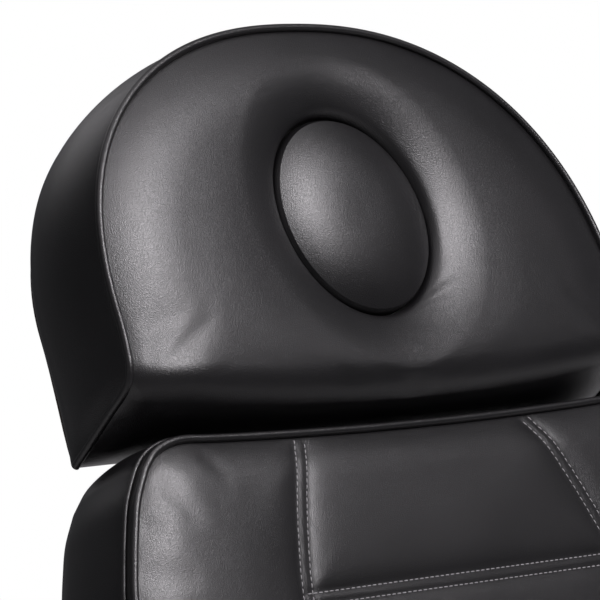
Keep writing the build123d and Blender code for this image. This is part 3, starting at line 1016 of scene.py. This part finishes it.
def roundCorners(piece, corners, reach):  # takes the point off where the side meets the lower face
    shape = bmesh.new()
    shape.from_mesh(piece.data)
    corners = [Vector(map(float, corner)) for corner in corners]
    around = [v for v in shape.verts if min((v.co - corner).length for corner in corners) < reach]
    axes = {"use_axis_x": True, "use_axis_y": True, "use_axis_z": True}
    for step in range(30):
        bmesh.ops.smooth_vert(shape, verts=around, factor=0.5, **axes)
    shape.to_mesh(piece.data)
    shape.free()


lowCorners = [path[0] for path in cornerPaths]
roundCorners(head, lowCorners, headShape["cornerReach"])
head.data.transform(backFrame)
dress(head, leather)
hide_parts("headrest_cushion")
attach(head, "headrest")
weltPath = np.vstack([cornerPaths[0][::-1][:-1], weltPath, cornerPaths[1][1:]])
weltPath = resampled(weltPath, np.linspace(0, 1, int(lengthOf(weltPath) / (2 * mm))))
weltPath = softened(weltPath, lowCorners, headShape["weltCornerReach"], 14)
headWelt = tube("headrest_welt", weltPath, cushionLook["welt"], backFrame)
dress(headWelt, leather)
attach(headWelt, "headrest")
print("stage: headrest")

plugShape = {
    "x": 73 * mm,
    "y": 81 * mm,
    "rim": 57 * mm,
    "dome": 15 * mm,
    "domePower": 2.8,  # a higher power is flatter in the middle
    # how far each row of the side is inside the widest line, and below the rim, in mm
    "side": ((1.2, 1.0), (0.4, 2.6), (0, 5), (0.2, 11), (1.5, 26), (4, 50), (8, 53)),
    "turnIn": 2.6,
    "columns": 160,
    "rings": 40,
}


def buildPlug(shape):
    columns = shape["columns"]
    centre = headShape["plugAt"]
    layers = []
    a = np.linspace(0, 2 * math.pi, columns, endpoint=False)
    ellipse = np.column_stack([shape["x"] * np.cos(a), shape["y"] * np.sin(a)])
    for share in np.linspace(0.04, 1, shape["rings"]):
        r = math.sin(share * math.pi / 2) * (1 - shape["turnIn"] * mm / shape["x"])
        z = shape["rim"] + shape["dome"] * (1 - r ** shape["domePower"])
        layers.append(np.column_stack([ellipse * r, np.full(columns, z)]))
    for inset, drop in shape["side"]:
        ring = ellipse * (1 - inset * mm / shape["x"])
        layers.append(np.column_stack([ring, np.full(columns, shape["rim"] - drop * mm)]))
    for layer in layers:
        layer[:, 1] += centre
    points = np.vstack(layers)
    faces = ladder(range(columns))
    for r in range(len(layers) - 1):
        for k in range(columns):
            n = (k + 1) % columns
            faces.append((r * columns + k, r * columns + n, (r + 1) * columns + n, (r + 1) * columns + k))
    faces += ladder([(len(layers) - 1) * columns + k for k in range(columns)])
    piece = newObject("face_plug_upholstery", points, faces)
    smoothShaded(piece)
    return piece


plug = buildPlug(plugShape)
applied(plug, "SUBSURF", levels=1, render_levels=1)
plug.data.transform(backFrame)
dress(plug, leather)
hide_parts("face_plug")
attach(plug, "face_plug")
print("stage: face plug")


# floor, light and sky
studio = {
    "floorRadius": 4.5,
    "floorDrop": 0.5 * mm,  # just under the feet
    "floorPale": rgb(0.82, 0.82, 0.82),
    "floorDull": rgb(0.78, 0.78, 0.78),
    "roomColour": rgb(0.95, 0.95, 1.0),
    "room": 0.10,
    "wall": 1.0,
    "lampColour": (1.0, 0.965, 1.0),
    "lampAim": (0, 0.7, 0.06),  # the headrest, in the back's own frame
    # direction from the headrest, distance, width, height, power
    "lamps": {
        "keyLamp": ((0.15, -0.64, 0.75), 2.6, 0.8, 0.9, 80),
        "fillLamp": ((0.72, -0.50, 0.50), 3.0, 1.6, 1.6, 2),
        "roofLamp": ((-0.1, -0.1, 1.0), 3.2, 4.0, 4.0, 55),
        "leftLamp": ((-1.0, -0.15, 0.25), 3.0, 1.0, 1.8, 2.5),
        "rearLamp": ((0.1, 0.9, 0.5), 3.2, 1.6, 1.6, 6),
    },
}


def makeFloor():
    bpy.ops.object.select_all(action="DESELECT")
    bpy.ops.mesh.primitive_circle_add(
        vertices=96, radius=studio["floorRadius"], fill_type="NGON", location=(0, 0, -studio["floorDrop"])
    )
    floor = bpy.context.object
    floor.name = "floor"
    paint = Paint("paleFloor", Specular_IOR_Level=0.3)
    soft = paint.noise(3, 4)
    paint.set("Base Color", paint.mixed(soft, studio["floorDull"], studio["floorPale"]))
    paint.set("Roughness", paint.between(soft, 0.6, 0.7))
    floor.data.materials.append(paint.material)


def makeRoom():  # a dim room for the reflections, and a white wall behind
    world = bpy.data.worlds.new("studio")
    scene.world = world
    world.use_nodes = True
    tree = world.node_tree
    room = tree.nodes["Background"]
    room.inputs[0].default_value = studio["roomColour"]
    room.inputs[1].default_value = studio["room"]
    wall = tree.nodes.new("ShaderNodeBackground")
    wall.inputs[0].default_value = rgb(1, 1, 1)
    wall.inputs[1].default_value = studio["wall"]
    seen = tree.nodes.new("ShaderNodeLightPath")
    mix = tree.nodes.new("ShaderNodeMixShader")
    tree.links.new(seen.outputs["Is Camera Ray"], mix.inputs[0])
    tree.links.new(room.outputs[0], mix.inputs[1])
    tree.links.new(wall.outputs[0], mix.inputs[2])
    tree.links.new(mix.outputs[0], tree.nodes["World Output"].inputs[0])


def makeLamps():
    aim = backFrame @ Vector(studio["lampAim"])
    for name, (toward, far, width, height, power) in studio["lamps"].items():
        data = bpy.data.lights.new(name, "AREA")
        data.shape = "RECTANGLE"
        data.size, data.size_y, data.energy = width, height, power
        data.color = studio["lampColour"]
        lamp = bpy.data.objects.new(name, data)
        way = Vector(toward).normalized()
        lamp.location = aim + way * far
        lamp.rotation_euler = way.to_track_quat("Z", "Y").to_euler()
        scene.collection.objects.link(lamp)


makeFloor()
makeRoom()
makeLamps()
scene.view_settings.view_transform = "Standard"
print("stage: floor and light")

bpy.context.view_layer.update()
